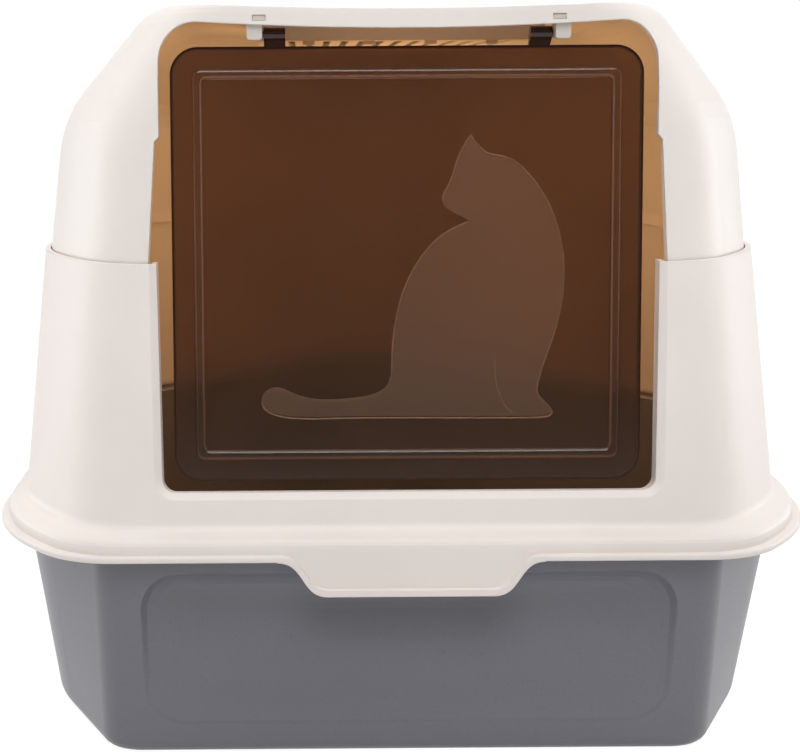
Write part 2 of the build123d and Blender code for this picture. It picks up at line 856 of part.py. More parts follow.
with BuildPart() as carry_handle:
    with BuildSketch(Plane.XY.offset(handle_pivot_z - handle_thickness / 2)) as handle_sketch:
        with Locations((0, handle_pivot_y)):
            Rectangle(2 * leg_outside, handle_reach, align=(Align.CENTER, Align.MAX))
            Rectangle(2 * (leg_outside - handle_leg), handle_reach - handle_bar,
                      align=(Align.CENTER, Align.MAX), mode=Mode.SUBTRACT)
        front = handle_pivot_y - handle_reach
        corners = handle_sketch.vertices().filter_by(lambda v: abs(v.Y - front) < handle_gap)
        fillet(corners, handle_corner)
    extrude(amount=handle_thickness)
    for side in (-1, 1):
        with Locations(Location(
            (side * (leg_outside - handle_leg / 2), handle_pivot_y, handle_pivot_z), (0, 90, 0)
        )):
            Cylinder(handle_thickness / 2, handle_leg)
        pin_length = handle_gap + dome_wall + handle_leg / 2
        with Locations(Location(
            (side * (leg_outside + handle_gap + dome_wall - pin_length / 2), handle_pivot_y,
             handle_pivot_z), (0, 90, 0)
        )):
            Cylinder(handle_pin_radius, pin_length)
carry_handle.part.label = "carry_handle"

os.makedirs("parts", exist_ok=True)
export_step(tray.part, "parts/tray.step")
export_step(lower_hood.part, "parts/lower_hood.step")
export_step(upper_hood.part, "parts/upper_hood.step")
export_step(hinge_pin.part, "parts/hinge_pin.step")
export_step(door_hanger_left, "parts/door_hanger_left.step")
export_step(door_hanger_right, "parts/door_hanger_right.step")
export_step(swing_door.part, "parts/swing_door.step")
export_step(filter_cover.part, "parts/filter_cover.step")
export_step(carbon_filter.part, "parts/carbon_filter.step")
export_step(carry_handle.part, "parts/carry_handle.step")
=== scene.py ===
import math

import bmesh
import bpy
from bpy.props import FloatProperty, FloatVectorProperty, IntProperty, PointerProperty
from mathutils import Matrix, Vector


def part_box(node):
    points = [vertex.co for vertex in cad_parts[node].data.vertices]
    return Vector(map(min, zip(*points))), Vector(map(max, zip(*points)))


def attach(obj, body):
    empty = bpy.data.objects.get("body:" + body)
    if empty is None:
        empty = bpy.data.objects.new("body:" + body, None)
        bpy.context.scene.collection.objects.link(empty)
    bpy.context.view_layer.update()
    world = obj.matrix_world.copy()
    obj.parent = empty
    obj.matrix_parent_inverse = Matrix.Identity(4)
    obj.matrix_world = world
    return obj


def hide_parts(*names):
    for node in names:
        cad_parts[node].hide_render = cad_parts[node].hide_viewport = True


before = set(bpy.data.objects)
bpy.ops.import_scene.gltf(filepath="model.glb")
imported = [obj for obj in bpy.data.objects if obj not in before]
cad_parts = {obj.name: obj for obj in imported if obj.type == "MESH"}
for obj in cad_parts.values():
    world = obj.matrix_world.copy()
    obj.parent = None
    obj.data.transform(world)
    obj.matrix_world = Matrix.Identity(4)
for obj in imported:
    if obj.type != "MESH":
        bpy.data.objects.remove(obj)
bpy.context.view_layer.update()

bl_info = {
    "name": "Corner litter box",
    "version": (1, 0, 0),
    "blender": (4, 5, 0),
    "location": "View3D > Sidebar > Litter Box",
    "description": "Finishes a covered corner litter box: moulded hoods, smoky door, tray and filter pad",
    "category": "Object",
}

# All lengths are in metres, but for the strokes of the cat

# The door's plate: the middle of its face, its lean of 25 mm over 223.8 mm, its half sizes,
# the radius of its corners and the height of its top edge
DOOR_CENTRE = Vector((0, -0.2322, 0.2606))
DOOR_LEAN = math.atan2(0.025, 0.2238)
DOOR_HALF_WIDTH = 0.1221
DOOR_HALF_LENGTH = 0.1126
DOOR_CORNER = 0.0145
DOOR_TOP = 0.3725

# Directions across the door, up it and out of its face
DOOR_ACROSS = Vector((1, 0, 0))
DOOR_UP = Vector((0, math.sin(DOOR_LEAN), math.cos(DOOR_LEAN)))
DOOR_OUT = Vector((0, -math.cos(DOOR_LEAN), math.sin(DOOR_LEAN)))

# The cat's finish is held inside a rounded rectangle this far from the door's edge,
# with corners of this radius, and fades out over this width
PANEL_INSET = 0.022
PANEL_CORNER = 0.002
PANEL_FADE = 0.001

# The heights over the door's face between which its surface turns into the cat's,
# and the heights over its top edge between which it turns into a tab's
CAT_BLEND = (-0.00035, -0.00015)
TAB_BLEND = (0.0004, 0.0012)

# The middle of the line round the cat lies this deep in the door's face
LINE_DEPTH = 0.0004
LINE_SIDES = 8

# The filter pad rolls off at its edge, begins to thin this far in and is at least this thick
# each way from its middle; a skin above it is left for the fibres
PAD_EDGE = 0.004
PAD_CROWN_REACH = 0.03
PAD_LEAST_RISE = 0.00005
PAD_SKIN = 0.0003
PAD_COLUMNS = 60
PAD_ROWS = 36

# A loose fibre, with how far aside its two handles and its end are; the seed lays them all
FIBRE_RADIUS = 0.00007
FIBRE_BOWS = (0.0008, 0.0006, -0.0004)
FIBRE_SEED = 11

# The floor reaches this far each way and lies just under the box
FLOOR_REACH = 6.0
FLOOR_DROP = 0.0002

# Where the soft lamps point, and the colour of light that has come through the thin walls
LAMP_AIM = Vector((0, -0.05, 0.2))
CABIN_LIGHT = (1.0, 0.57, 0.25)

# The camera's place, and how far it is turned sideways, down and about its view, in degrees
CAMERA_PLACE = (-0.05334, -0.980, 0.3477)
CAMERA_YAW = 0.131
CAMERA_PITCH = 11.014
CAMERA_ROLL = 0.342

# A noise pattern lies mostly between these two values
NOISE_LOW = 0.3
NOISE_HIGH = 0.7

# Strokes of the seated cat's outline and of its leg, in millimetres from the door's middle:
# a stroke is its start, the two handles of its curve and its end
CAT_OUTLINE = [
    ((33, 67), (36, 62), (39, 59), (43, 57)),
    ((43, 57), (50, 57), (57, 54), (62, 48)),
    ((62, 48), (76, 34), (84, 10), (81, -16)),
    ((81, -16), (79, -36), (70, -50), (68, -64)),
    ((68, -64), (67, -70), (74, -72), (76, -77)),
    ((76, -77), (76, -80), (70, -80), (60, -80)),
    ((60, -80), (20, -80), (-20, -79), (-48, -80)),
    ((-48, -80), (-64, -80), (-76, -78), (-76, -71)),
    ((-76, -71), (-76, -64), (-68, -62), (-62, -66)),
    ((-62, -66), (-52, -71), (-42, -71), (-32, -70)),
    ((-32, -70), (-16, -69), (-8, -66), (-8, -54)),
    ((-8, -54), (-8, -30), (-4, -8), (12, 10)),
    ((12, 10), (18, 17), (26, 20), (33, 23)),
    ((33, 23), (28, 26), (25, 27), (22, 29)),
    ((22, 29), (17, 32), (18, 37), (21, 40)),
    ((21, 40), (24, 46), (25, 52), (27, 57)),
    ((27, 57), (29, 61), (31, 65), (33, 67)),
]
CAT_LEG = [
    ((46, -48), (45, -58), (47, -66), (51, -73)),
    ((51, -73), (53, -77), (57, -78), (61, -78)),
]


# Properties

class MouldedFinish(bpy.types.PropertyGroup):
    """Colours and grain of the moulded pieces"""
    dome_colour: FloatVectorProperty(
        name="Dome colour", description="Plastic of the upper hood",
        subtype="COLOR", size=3, min=0, max=1, default=(0.815, 0.757, 0.715))
    hood_colour: FloatVectorProperty(
        name="Lower hood colour", description="Plastic of the lower hood",
        subtype="COLOR", size=3, min=0, max=1, default=(0.805, 0.74, 0.70))
    tray_colour: FloatVectorProperty(
        name="Tray colour", description="Plastic of the tray",
        subtype="COLOR", size=3, min=0, max=1, default=(0.165, 0.163, 0.187))
    hanger_colour: FloatVectorProperty(
        name="Hanger colour", description="Plastic of the two door hangers",
        subtype="COLOR", size=3, min=0, max=1, default=(0.665, 0.605, 0.535))
    grain_pitch: FloatProperty(
        name="Grain pitch", description="Distance between the grains of the moulded skin",
        subtype="DISTANCE", min=0.0002, max=0.01, default=0.0009)
    grain_depth: FloatProperty(
        name="Grain depth", description="How deep the moulded grain is",
        subtype="DISTANCE", min=0, max=0.001, default=0.000012)
    edge_round: FloatProperty(
        name="Edge rounding", description="Radius at which the moulded edges catch the light",
        subtype="DISTANCE", min=0, max=0.005, default=0.0009)


class SmokyDoorFinish(bpy.types.PropertyGroup):
    """Finish of the see-through door and the line round its cat"""
    body_colour: FloatVectorProperty(
        name="Body colour", description="Tint of the smoky plastic, seen through its thickness",
        subtype="COLOR", size=3, min=0, max=1, default=(0.22, 0.115, 0.058))
    thick_colour: FloatVectorProperty(
        name="Thick colour", description="Plastic of the rim and the tabs, too thick to see through",
        subtype="COLOR", size=3, min=0, max=1, default=(0.03, 0.007, 0.002))
    clearness: FloatProperty(
        name="Clearness", description="Share of the light that passes the plastic",
        min=0, max=1, default=0.88)
    edge_width: FloatProperty(
        name="Edge width", description="Width of the dark rim, where the plastic is thicker",
        subtype="DISTANCE", min=0, max=0.01, default=0.0016)
    line_radius: FloatProperty(
        name="Outline radius", description="Half width of the raised line round the cat",
        subtype="DISTANCE", min=0.0001, max=0.002, default=0.00045)


class FilterPadSizes(bpy.types.PropertyGroup):
    """Colour, crown and fibres of the carbon pad"""
    felt_colour: FloatVectorProperty(
        name="Felt colour", description="Carbon felt of the pad",
        subtype="COLOR", size=3, min=0, max=1, default=(0.018, 0.018, 0.019))
    crown: FloatProperty(
        name="Crown", description="How much the pad is thinner at its edge than in its middle",
        subtype="DISTANCE", min=0, max=0.005, default=0.0012)
    fibre_count: IntProperty(
        name="Fibres", description="Loose fibres on the felt", min=0, max=5000, default=700)
    fibre_length: FloatProperty(
        name="Fibre length", description="Length of one loose fibre",
        subtype="DISTANCE", min=0.0005, max=0.02, default=0.004)


class StageSetup(bpy.types.PropertyGroup):
    """Lens, lamps and surround of the picture"""
    focal_length: FloatProperty(
        name="Focal length", description="Lens in millimetres on a 36 mm sensor",
        min=10, max=300, default=64.98)
    sideways_shift: FloatProperty(
        name="Sideways shift", description="Lens shift that the crop of the picture asks for",
        min=-0.5, max=0.5, default=0.1144)
    side_lamp: FloatProperty(
        name="Side lamps", description="Power of the two side lamps",
        subtype="POWER", min=0, max=500, default=9.5)
    top_lamp: FloatProperty(
        name="Top lamp", description="Power of the lamp above", subtype="POWER",
        min=0, max=500, default=16)
    front_lamp: FloatProperty(
        name="Front lamp", description="Power of the lamp in front", subtype="POWER",
        min=0, max=500, default=12)
    cabin_lamp: FloatProperty(
        name="Cabin lamp", description="Warm light that the thin walls let into the cabin",
        subtype="POWER", min=0, max=50, default=0.6)
    surround: FloatProperty(
        name="Surround", description="Strength of the light from the white backdrop",
        min=0, max=5, default=0.85)
    surround_front: FloatProperty(
        name="Surround in front", description="Strength of the light from the room in front",
        min=0, max=5, default=0.12)


# Materials

def feed(tree, socket, value):
    """Give a socket a value, or link another node's output to it."""
    if isinstance(value, bpy.types.NodeSocket):
        tree.links.new(value, socket)
    else:
        socket.default_value = value


def linked(tree, kind, **given):
    """Add a node and feed its sockets, which go by their names with _ for space."""
    node = tree.nodes.new(kind)
    for name, value in given.items():
        feed(tree, node.inputs[name.replace("_", " ")], value)
    return node


def start_material(name):
    """New node material with only an output; gives the material, its tree and its output."""
    material = bpy.data.materials.new(name)
    material.use_nodes = True
    material.node_tree.nodes.clear()
    output = material.node_tree.nodes.new("ShaderNodeOutputMaterial")
    return material, material.node_tree, output


def opaque(colour, strength=1.0):
    """Colour with full alpha, made lighter or darker by a strength and held at white."""
    return (*(min(1.0, part * strength) for part in colour), 1.0)


def calculate(tree, operation, first, second=0.0):
    """Add a maths node and give its result."""
    node = tree.nodes.new("ShaderNodeMath")
    node.operation = operation
    feed(tree, node.inputs[0], first)
    feed(tree, node.inputs[1], second)
    return node.outputs[0]


def span(tree, value, low, high, out_low, out_high):
    """Map a value from one span to another, held at the ends."""
    node = linked(tree, "ShaderNodeMapRange", Value=value, From_Min=low, From_Max=high,
                  To_Min=out_low, To_Max=out_high)
    return node.outputs["Result"]


def spread(tree, pattern, low, high):
    """Map a noise pattern from the values that it mostly has to a span."""
    return span(tree, pattern, NOISE_LOW, NOISE_HIGH, low, high)


def colour_mix(tree, share, first, second):
    """Mix two colours by a share and give the result."""
    node = tree.nodes.new("ShaderNodeMix")
    node.data_type = "RGBA"
    # Inputs 6 and 7 and output 2 are the node's sockets for colours
    for number, value in ((0, share), (6, first), (7, second)):
        feed(tree, node.inputs[number], value)
    return node.outputs[2]


def noise(tree, place, scale, detail=3.0, roughness=0.5, distortion=0.0):
    """Noise pattern at a place, in waves per metre."""
    node = linked(tree, "ShaderNodeTexNoise", Vector=place, Scale=scale, Detail=detail,
                  Roughness=roughness, Distortion=distortion)
    return node.outputs["Fac"]


def object_place(tree):
    """Socket with a point's place on its own object."""
    return tree.nodes.new("ShaderNodeTexCoord").outputs["Object"]


def part_of(tree, place, axis):
    """Socket with one part, X, Y or Z, of a place or a direction."""
    return linked(tree, "ShaderNodeSeparateXYZ", Vector=place).outputs[axis]


def mirrored_ray(tree, rays):
    """Socket that is one for rays off a shiny surface or through a clear one, else nothing."""
    return calculate(tree, "MAXIMUM", rays.outputs["Is Glossy Ray"],
                     rays.outputs["Is Transmission Ray"])


def mix_shaders(tree, share, first, second):
    """Mix two shaders by the second one's share."""
    both = tree.nodes.new("ShaderNodeMixShader")
    feed(tree, both.inputs[0], share)
    tree.links.new(first.outputs[0], both.inputs[1])
    tree.links.new(second.outputs[0], both.inputs[2])
    return both


def show(tree, shader, output):
    """Give a shader to the surface of a material or of the world."""
    tree.links.new(shader.outputs[0], output.inputs["Surface"])


def moulded_plastic(name, colour, finish, roughness, grain=1.0, speckle=0.0):
    """Injection-moulded skin: cloudy colour, fine grain, flow swirls and rounded edges."""
    material, tree, output = start_material(name)
    place = object_place(tree)
    clouds = noise(tree, place, scale=9.0, detail=4.0, roughness=0.55)
    flow = noise(tree, place, scale=26.0, detail=2.0, distortion=1.6)
    tint = colour_mix(tree, spread(tree, clouds, 0.0, 1.0), opaque(colour, 0.955),
                      opaque(colour, 1.03))
    if speckle:
        dots = noise(tree, place, scale=900.0, detail=1.0)
        tint = colour_mix(tree, span(tree, dots, 0.62, 0.74, 0.0, speckle), tint,
                          opaque(colour, 0.55))
    fine = noise(tree, place, scale=1.0 / finish.grain_pitch, detail=2.0, roughness=0.6)
    broad = spread(tree, clouds, roughness - 0.03, roughness + 0.03)
    rough = calculate(tree, "ADD", broad, spread(tree, fine, -0.03, 0.04))
    rounded = linked(tree, "ShaderNodeBevel", Radius=finish.edge_round)
    rounded.samples = 4
    height = calculate(tree, "ADD", fine, calculate(tree, "MULTIPLY", flow, 2.5))
    bump = linked(tree, "ShaderNodeBump", Height=height, Distance=finish.grain_depth * grain,
                  Strength=1.0, Normal=rounded.outputs[0])
    skin = linked(tree, "ShaderNodeBsdfPrincipled", Base_Color=tint, Roughness=rough,
                  Normal=bump.outputs[0])
    skin.inputs["IOR"].default_value = 1.49
    skin.inputs["Specular IOR Level"].default_value = 0.5
    show(tree, skin, output)
    return material


def door_face(tree):
    """Sockets with a point's place across the door, up it and out of its face."""
    place = object_place(tree)
    sockets = []
    for direction in (DOOR_ACROSS, DOOR_UP, DOOR_OUT):
        along = tree.nodes.new("ShaderNodeVectorMath")
        along.operation = "DOT_PRODUCT"
        tree.links.new(place, along.inputs[0])
        along.inputs[1].default_value = direction
        sockets.append(calculate(tree, "SUBTRACT", along.outputs["Value"],
                                 DOOR_CENTRE.dot(direction)))
    return sockets


def edge_distance(tree, across, up, half_width, half_length, corner):
    """Distance outside a rounded rectangle on the door, less than nothing inside it."""
    over = [
        calculate(tree, "SUBTRACT", calculate(tree, "ABSOLUTE", value), half - corner)
        for value, half in ((across, half_width), (up, half_length))
    ]
    squares = [
        calculate(tree, "POWER", calculate(tree, "MAXIMUM", value, 0.0), 2.0) for value in over
    ]
    round_part = calculate(tree, "SQRT", calculate(tree, "ADD", *squares))
    flat_part = calculate(tree, "MINIMUM", calculate(tree, "MAXIMUM", *over), 0.0)
    return calculate(tree, "SUBTRACT", calculate(tree, "ADD", round_part, flat_part), corner)


def smoky_plastic(name, finish):
    """Tinted see-through plastic: polished, darker where it is thick, frosted on the cat."""
    material, tree, output = start_material(name)
    place = object_place(tree)
    across, up, out = door_face(tree)
    clouds = noise(tree, place, scale=7.0)
    body = colour_mix(tree, spread(tree, clouds, 0.0, 1.0), opaque(finish.body_colour, 0.9),
                      opaque(finish.body_colour, 1.12))
    outline = edge_distance(tree, across, up, DOOR_HALF_WIDTH, DOOR_HALF_LENGTH, DOOR_CORNER)
    rim = span(tree, outline, -finish.edge_width, -finish.edge_width * 0.7, 0.0, 1.0)
    panel = edge_distance(tree, across, up, DOOR_HALF_WIDTH - PANEL_INSET,
                          DOOR_HALF_LENGTH - PANEL_INSET, PANEL_CORNER)
    on_cat = calculate(tree, "MULTIPLY", span(tree, out, *CAT_BLEND, 0.0, 1.0),
                       span(tree, panel, -PANEL_FADE, 0.0, 1.0, 0.0))
    over_top = [DOOR_TOP + rise for rise in TAB_BLEND]
    tab = span(tree, part_of(tree, place, "Z"), *over_top, 0.0, 1.0)
    thick = calculate(tree, "MAXIMUM", rim, tab)
    body = colour_mix(tree, on_cat, body, opaque(finish.body_colour, 1.25))
    body = colour_mix(tree, thick, body, opaque(finish.thick_colour))
    ripple = noise(tree, place, scale=60.0, detail=2.0)
    fine = noise(tree, place, scale=1400.0, detail=1.0)
    height = calculate(tree, "ADD", calculate(tree, "MULTIPLY", ripple, 2.0), fine)
    bump = linked(tree, "ShaderNodeBump", Height=height, Distance=0.00001, Strength=1.0)
    frosted = calculate(tree, "MULTIPLY", on_cat, 0.2)
    rough = calculate(tree, "ADD", spread(tree, clouds, 0.10, 0.15), frosted)
    milky = calculate(tree, "MULTIPLY", on_cat, 0.1)
    clear = calculate(tree, "SUBTRACT", finish.clearness, milky)
    clear = calculate(tree, "MULTIPLY", clear, calculate(tree, "SUBTRACT", 1.0, thick))
    face = linked(tree, "ShaderNodeBsdfPrincipled", Base_Color=body, Roughness=rough,
                  Transmission_Weight=clear, Normal=bump.outputs[0])
    face.inputs["IOR"].default_value = 1.5
    show(tree, face, output)
    return material


def painted_highlight_line(name, finish):
    """The smoky plastic where it stands up as a thin line, coloured lighter than the door's body as a
    painted highlight.
    """
    material, tree, output = start_material(name)
    painted_glint_and_wear = noise(tree, object_place(tree), scale=120.0)
    # Painted highlight: the line's colour is 1.3 to 2.8 times the door's body colour, lighter where the
    # noise is higher
    tint = colour_mix(tree, painted_glint_and_wear, opaque(finish.body_colour, 1.3), opaque(finish.body_colour, 2.8))
    bump = linked(tree, "ShaderNodeBump", Height=painted_glint_and_wear, Distance=0.00005, Strength=1.0)
    shell = linked(tree, "ShaderNodeBsdfPrincipled", Base_Color=tint, Normal=bump.outputs[0],
                   Roughness=spread(tree, painted_glint_and_wear, 0.2, 0.32))
    passing = linked(tree, "ShaderNodeBsdfTransparent", Color=(0.95, 0.9, 0.86, 1))
    show(tree, mix_shaders(tree, 0.4, passing, shell), output)
    return material


def carbon_felt(name, sizes):
    """Matted black felt with lighter fibres."""
    material, tree, output = start_material(name)
    place = object_place(tree)
    mat = noise(tree, place, scale=520.0, detail=6.0, roughness=0.7, distortion=0.8)
    lumps = noise(tree, place, scale=90.0)
    tint = colour_mix(tree, span(tree, mat, 0.42, 0.7, 0.0, 1.0), opaque(sizes.felt_colour),
                      opaque(sizes.felt_colour, 4.5))
    height = calculate(tree, "ADD", mat, calculate(tree, "MULTIPLY", lumps, 1.5))
    bump = linked(tree, "ShaderNodeBump", Height=height, Distance=0.0007, Strength=1.0)
    felt = linked(tree, "ShaderNodeBsdfPrincipled", Base_Color=tint, Normal=bump.outputs[0],
                  Roughness=spread(tree, mat, 0.86, 0.98))
    felt.inputs["Sheen Weight"].default_value = 0.25
    felt.inputs["Sheen Roughness"].default_value = 0.6
    show(tree, felt, output)
    return material


def drawn_steel(name):
    """Steel wire with fine lines along its length."""
    material, tree, output = start_material(name)
    stretched = linked(tree, "ShaderNodeMapping", Vector=object_place(tree),
                       Scale=(40.0, 1800.0, 1800.0))
    lines = noise(tree, stretched.outputs[0], scale=1.0)
    tint = colour_mix(tree, lines, (0.42, 0.42, 0.43, 1), (0.66, 0.66, 0.67, 1))
    bump = linked(tree, "ShaderNodeBump", Height=lines, Distance=0.00004, Strength=1.0)
    wire = linked(tree, "ShaderNodeBsdfPrincipled", Base_Color=tint, Normal=bump.outputs[0],
                  Roughness=spread(tree, lines, 0.24, 0.4))
    wire.inputs["Metallic"].default_value = 1.0
    show(tree, wire, output)
    return material


def dress(node, material):
    """Give a moulded piece of the frame its finish."""
    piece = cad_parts[node]
    for slot in piece.material_slots:
        slot.material = material
    if not piece.material_slots:
        piece.data.materials.append(material)


def smooth(mesh):
    """Shade every face of a mesh smooth."""
    for face in mesh.polygons:
        face.use_smooth = True


def new_piece(name, mesh, material):
    """Object for a finished mesh, at the origin."""
    piece = bpy.data.objects.new(name, mesh)
    bpy.context.scene.collection.objects.link(piece)
    mesh.materials.clear()
    mesh.materials.append(material)
    return piece


# Geometry node trees

def geometry_tree(name, sockets):
    """Empty geometry tree with named inputs; gives the tree, its group input and output."""
    tree = bpy.data.node_groups.new(name, "GeometryNodeTree")
    tree.interface.new_socket("Geometry", in_out="INPUT", socket_type="NodeSocketGeometry")
    for label, kind, value in sockets:
        socket = tree.interface.new_socket(label, in_out="INPUT", socket_type=kind)
        if value is not None:
            socket.default_value = value
    tree.interface.new_socket("Geometry", in_out="OUTPUT", socket_type="NodeSocketGeometry")
    return tree, tree.nodes.new("NodeGroupInput"), tree.nodes.new("NodeGroupOutput")


def finish_tree(tree, geometry, material_from, output):
    """End a tree with real geometry that carries its material."""
    real = linked(tree, "GeometryNodeRealizeInstances", Geometry=geometry)
    coat = linked(tree, "GeometryNodeSetMaterial", Geometry=real.outputs[0],
                  Material=material_from)
    tree.links.new(coat.outputs[0], output.inputs[0])


def baked(piece, tree, values):
    """Run a geometry tree on an object and leave its result as a plain mesh."""
    modifier = piece.modifiers.new("build", "NODES")
    modifier.node_group = tree
    for socket in tree.interface.items_tree:
        if socket.in_out == "INPUT" and socket.name in values:
            modifier[socket.identifier] = values[socket.name]
    depsgraph = bpy.context.evaluated_depsgraph_get()
    mesh = bpy.data.meshes.new_from_object(piece.evaluated_get(depsgraph))
    piece.modifiers.remove(modifier)
    return mesh


def joined(tree, **parts):
    """Socket with a vector made of the parts X, Y and Z; a part that isn't given is nothing."""
    return linked(tree, "ShaderNodeCombineXYZ", **parts).outputs[0]


def outline_tree():
    """Raised line that follows a curve."""
    tree, start, end = geometry_tree("raised_outline", [
        ("Line Radius", "NodeSocketFloat", 0.00045),
        ("Line Sides", "NodeSocketInt", LINE_SIDES),
        ("Material", "NodeSocketMaterial", None),
    ])
    ring = linked(tree, "GeometryNodeCurvePrimitiveCircle", Radius=start.outputs["Line Radius"],
                  Resolution=start.outputs["Line Sides"])
    tube = linked(tree, "GeometryNodeCurveToMesh", Curve=start.outputs["Geometry"],
                  Profile_Curve=ring.outputs[0])
    finish_tree(tree, tube.outputs[0], start.outputs["Material"], end)
    return tree


def fibre_tree():
    """Short loose fibres scattered over a surface, each lying in its own direction."""
    tree, start, end = geometry_tree("loose_fibres", [
        ("Fibre Count", "NodeSocketInt", 700),
        ("Fibre Length", "NodeSocketFloat", 0.004),
        ("Fibre Radius", "NodeSocketFloat", FIBRE_RADIUS),
        ("Seed", "NodeSocketInt", FIBRE_SEED),
        ("Material", "NodeSocketMaterial", None),
    ])
    surface = start.outputs["Geometry"]
    seed = start.outputs["Seed"]
    area = linked(tree, "GeometryNodeAttributeStatistic", Geometry=surface)
    area.domain = "FACE"
    face_area = tree.nodes.new("GeometryNodeInputMeshFaceArea")
    tree.links.new(face_area.outputs[0], area.inputs[2])
    density = calculate(tree, "DIVIDE", start.outputs["Fibre Count"], area.outputs["Sum"])
    points = linked(tree, "GeometryNodeDistributePointsOnFaces", Mesh=surface, Density=density,
                    Seed=seed)
    half = calculate(tree, "MULTIPLY", start.outputs["Fibre Length"], 0.5)
    near = calculate(tree, "MULTIPLY", half, -1.0)
    first_bow, second_bow, end_bow = FIBRE_BOWS
    arc = linked(tree, "GeometryNodeCurvePrimitiveBezierSegment", Resolution=4,
                 Start=joined(tree, X=near),
                 Start_Handle=joined(tree, Y=first_bow),
                 End_Handle=joined(tree, Y=second_bow),
                 End=joined(tree, X=half, Y=end_bow))
    ring = linked(tree, "GeometryNodeCurvePrimitiveCircle", Resolution=3,
                  Radius=start.outputs["Fibre Radius"])
    thread = linked(tree, "GeometryNodeCurveToMesh", Curve=arc.outputs[0],
                    Profile_Curve=ring.outputs[0], Fill_Caps=True)
    turn = linked(tree, "FunctionNodeRandomValue", Seed=seed)
    turn.data_type = "FLOAT"
    turn.inputs[2].default_value = 0.0
    turn.inputs[3].default_value = math.tau
    laid = linked(tree, "GeometryNodeInstanceOnPoints", Points=points.outputs["Points"],
                  Instance=thread.outputs[0], Rotation=joined(tree, Z=turn.outputs[1]))
    finish_tree(tree, laid.outputs[0], start.outputs["Material"], end)
    return tree


# Operators, each followed by the functions that only it needs

class LITTERBOX_OT_finish_tray(bpy.types.Operator):
    """Give the tray its grey moulded plastic"""
    bl_idname = "litterbox.finish_tray"
    bl_label = "Finish the tray"

    def execute(self, context):
        finish = context.scene.moulded_finish
        grey = moulded_plastic("tray_grey_plastic", finish.tray_colour, finish, roughness=0.36,
                               grain=1.6, speckle=0.35)
        dress("tray", grey)
        return {"FINISHED"}


class LITTERBOX_OT_finish_hoods(bpy.types.Operator):
    """Give both hoods, the filter cover, the handle and the hangers their moulded plastic"""
    bl_idname = "litterbox.finish_hoods"
    bl_label = "Finish the hoods"

    def execute(self, context):
        finish = context.scene.moulded_finish
        dome = moulded_plastic("dome_cream_plastic", finish.dome_colour, finish, roughness=0.46)
        dress("upper_hood", dome)
        hood = moulded_plastic("lower_hood_cream_plastic", finish.hood_colour, finish, roughness=0.5)
        dress("lower_hood", hood)
        cover = moulded_plastic("cover_cream_plastic", finish.dome_colour, finish, roughness=0.38,
                                grain=1.5)
        dress("filter_cover", cover)
        handle = moulded_plastic("handle_cream_plastic", finish.dome_colour, finish, roughness=0.26)
        dress("carry_handle", handle)
        hanger = moulded_plastic("hanger_white_plastic", finish.hanger_colour, finish, roughness=0.45)
        dress("door_hanger_left", hanger)
        dress("door_hanger_right", hanger)
        return {"FINISHED"}


class LITTERBOX_OT_finish_pin(bpy.types.Operator):
    """Give the rear hinge pin its drawn steel"""
    bl_idname = "litterbox.finish_pin"
    bl_label = "Finish the hinge pin"

    def execute(self, context):
        dress("hinge_pin", drawn_steel("hinge_pin_steel"))
        return {"FINISHED"}


class LITTERBOX_OT_finish_door(bpy.types.Operator):
    """Give the door its smoky plastic and run the raised line round the cat"""
    bl_idname = "litterbox.finish_door"
    bl_label = "Finish the door"

    def execute(self, context):
        finish = context.scene.smoky_door_finish
        dress("swing_door", smoky_plastic("door_smoky_plastic", finish))
        # The raised line's material carries a painted highlight in its colour
        painted_highlight_material = painted_highlight_line("door_line_plastic", finish)
        line = bpy.data.curves.new("cat_line", "CURVE")
        line.dimensions = "3D"
        line.resolution_u = 10
        draw_strokes(line, CAT_OUTLINE, closed=True)
        draw_strokes(line, CAT_LEG, closed=False)
        path = bpy.data.objects.new("cat_line", line)
        context.scene.collection.objects.link(path)
        mesh = baked(path, outline_tree(), {
            "Line Radius": finish.line_radius, "Line Sides": LINE_SIDES, "Material": painted_highlight_material})
        bpy.data.objects.remove(path)
        bpy.data.curves.remove(line)
        smooth(mesh)
        raised = new_piece("cat_outline", mesh, painted_highlight_material)
        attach(raised, "door")
        return {"FINISHED"}


def draw_strokes(line, strokes, closed):
    """Add a spline to a curve on the door; every stroke begins where the one before it ends."""
    spline = line.splines.new("BEZIER")
    spline.bezier_points.add(len(strokes) - closed)
    spline.use_cyclic_u = closed
    points = spline.bezier_points
    for point in points:
        point.handle_left_type = point.handle_right_type = "FREE"
    for number, (start, leaving, arriving, end) in enumerate(strokes):
        here = points[number]
        there = points[(number + 1) % len(points)]
        here.co = on_door(start)
        here.handle_right = on_door(leaving)
        there.handle_left = on_door(arriving)
        there.co = on_door(end)


def on_door(point):
    """Place of a point of the door's face, given in millimetres across and up it."""
    across, up = point[0] / 1000, point[1] / 1000
    return DOOR_CENTRE + DOOR_ACROSS * across + DOOR_UP * up - DOOR_OUT * LINE_DEPTH


class LITTERBOX_OT_build_filter_pad(bpy.types.Operator):
    """Build the carbon felt pad, crowned and soft at its edges, with loose fibres on it"""
    bl_idname = "litterbox.build_filter_pad"
    bl_label = "Build the filter pad"

    def execute(self, context):
        sizes = context.scene.filter_pad_sizes
        low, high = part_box("carbon_filter")
        felt = carbon_felt("filter_carbon_felt", sizes)
        mesh = pad_mesh("filter_pad", sizes, low, high)
        smooth(mesh)
        pad = new_piece("filter_pad", mesh, felt)
        fibres = baked(pad, fibre_tree(), {
            "Fibre Count": sizes.fibre_count, "Fibre Length": sizes.fibre_length,
            "Fibre Radius": FIBRE_RADIUS, "Seed": FIBRE_SEED, "Material": felt})
        hold_within(fibres, low, high)
        loose = new_piece("filter_fibres", fibres, felt)
        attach(pad, "upper_hood")
        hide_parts("carbon_filter")
        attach(loose, "upper_hood")
        return {"FINISHED"}


